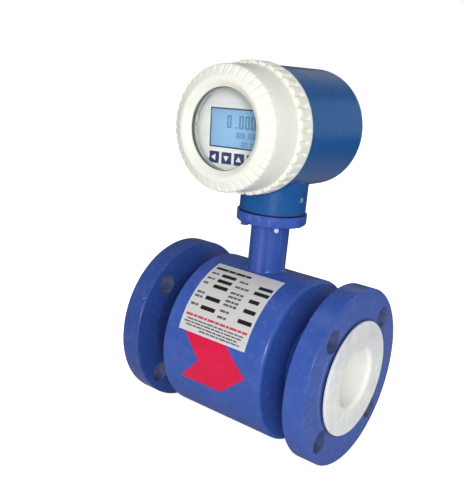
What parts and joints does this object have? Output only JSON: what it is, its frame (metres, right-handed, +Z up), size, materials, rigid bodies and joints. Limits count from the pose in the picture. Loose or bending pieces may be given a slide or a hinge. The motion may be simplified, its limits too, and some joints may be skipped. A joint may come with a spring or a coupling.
{
  "type": "electromagnetic flow meter",
  "caption": "Flanged electromagnetic flow meter: lined pipe section in a round coil housing, with a display head on a neck and a screw-on window cover.",
  "frame": {"origin": "on the axis of the bore, half way between the two sealing faces", "axes": "+X along the pipe in the direction of flow, -Y out of the display window, +Z up the neck"},
  "size_m": [0.2, 0.16, 0.322],
  "materials": {
    "sensor_paint": "violet-blue enamel, half gloss",
    "head_paint": "teal-blue powder coat, satin",
    "cover_paint": "off-white powder coat, satin",
    "liner_ptfe": "white fluoropolymer, smooth and slightly waxy",
    "stainless": "turned stainless steel",
    "insulator": "natural engineering plastic",
    "magnet_steel": "bare rolled steel",
    "coil_copper": "enamelled copper wire under varnish",
    "zinc_screws": "bright zinc plate",
    "brass_posts": "plain brass",
    "seal_rubber": "black rubber",
    "window": "clear toughened glass",
    "facia_plastic": "pale grey film over moulded plastic",
    "display_glass": "backlit liquid crystal display, pale blue",
    "dark_plastic": "black moulded plastic",
    "key_plastic": "navy silicone keys",
    "board": "green solder mask",
    "capacitor_sleeve": "dark blue sleeve",
    "terminal_green": "green moulded terminal strip",
    "gland_nylon": "dark grey nylon",
    "label_foil": "printed aluminium foil",
    "arrow_red": "red vinyl film"
  },
  "bodies": {
    "meter": {"coil_housing_shell": "sensor_paint", "coil_screws": "zinc_screws", "display_board": "board", "display_board_screws": "zinc_screws", "display_facia": "facia_plastic", "electrode_nuts": "stainless", "electrode_washers": "stainless", "facia_screws": "zinc_screws", "flow_arrow": "arrow_red", "front_electrode": "stainless", "front_electrode_bush": "insulator", "front_pillars": "brass_posts", "head_housing": "head_paint", "inlet_end_plate": "sensor_paint", "inlet_flange": "sensor_paint", "key_switches": "dark_plastic", "lcd_frame": "dark_plastic", "lcd_panel": "display_glass", "liner": "liner_ptfe", "lower_coil": "coil_copper", "lower_pole_shoe": "magnet_steel", "main_board": "board", "measuring_tube": "stainless", "neck_disc": "sensor_paint", "neck_gasket": "seal_rubber", "neck_pipe": "sensor_paint", "neck_screws": "zinc_screws", "neck_set_screw": "zinc_screws", "outlet_end_plate": "sensor_paint", "outlet_flange": "sensor_paint", "power_board": "board", "power_gland_body": "gland_nylon", "power_gland_nut": "gland_nylon", "power_gland_seal": "seal_rubber", "power_terminals": "terminal_green", "power_transformer": "dark_plastic", "rating_label": "label_foil", "rear_electrode": "stainless", "rear_electrode_bush": "insulator", "rear_pillars": "brass_posts", "return_yoke": "magnet_steel", "signal_gland_body": "gland_nylon", "signal_gland_nut": "gland_nylon", "signal_gland_seal": "seal_rubber", "signal_terminals": "terminal_green", "smoothing_capacitors": "capacitor_sleeve", "terminal_screws": "zinc_screws", "tube_welds": "sensor_paint", "upper_coil": "coil_copper", "upper_pole_shoe": "magnet_steel"},
    "cover_slide": {"cover_seal_ring": "seal_rubber"},
    "cover": {"front_cover": "cover_paint", "window_glass": "window", "window_gasket": "seal_rubber", "glass_retaining_ring": "cover_paint"},
    "key_left": {"key_left": "key_plastic"},
    "key_down": {"key_down": "key_plastic"},
    "key_up": {"key_up": "key_plastic"},
    "key_enter": {"key_enter": "key_plastic"}
  },
  "joints": [
    {"name": "cover_travel", "type": "slide", "parent": "meter", "child": "cover_slide", "axis": [0, -1, 0], "range_m": [0, 0.01]},
    {"name": "cover_turn", "type": "hinge", "parent": "cover_slide", "child": "cover", "pos_m": [0, -0.06, 0.1935], "axis": [0, -1, 0], "range_deg": [0, 1800]},
    {"name": "key_left_press", "type": "slide", "parent": "meter", "child": "key_left", "axis": [0, 1, 0], "range_m": [0, 0.0006], "stiffness_N_per_m": 400},
    {"name": "key_down_press", "type": "slide", "parent": "meter", "child": "key_down", "axis": [0, 1, 0], "range_m": [0, 0.0006], "stiffness_N_per_m": 400},
    {"name": "key_up_press", "type": "slide", "parent": "meter", "child": "key_up", "axis": [0, 1, 0], "range_m": [0, 0.0006], "stiffness_N_per_m": 400},
    {"name": "key_enter_press", "type": "slide", "parent": "meter", "child": "key_enter", "axis": [0, 1, 0], "range_m": [0, 0.0006], "stiffness_N_per_m": 400}
  ],
  "couplings": [
    {"joint": "cover_travel", "follows": "cover_turn", "m_per_rad": 0.0003183}
  ]
}
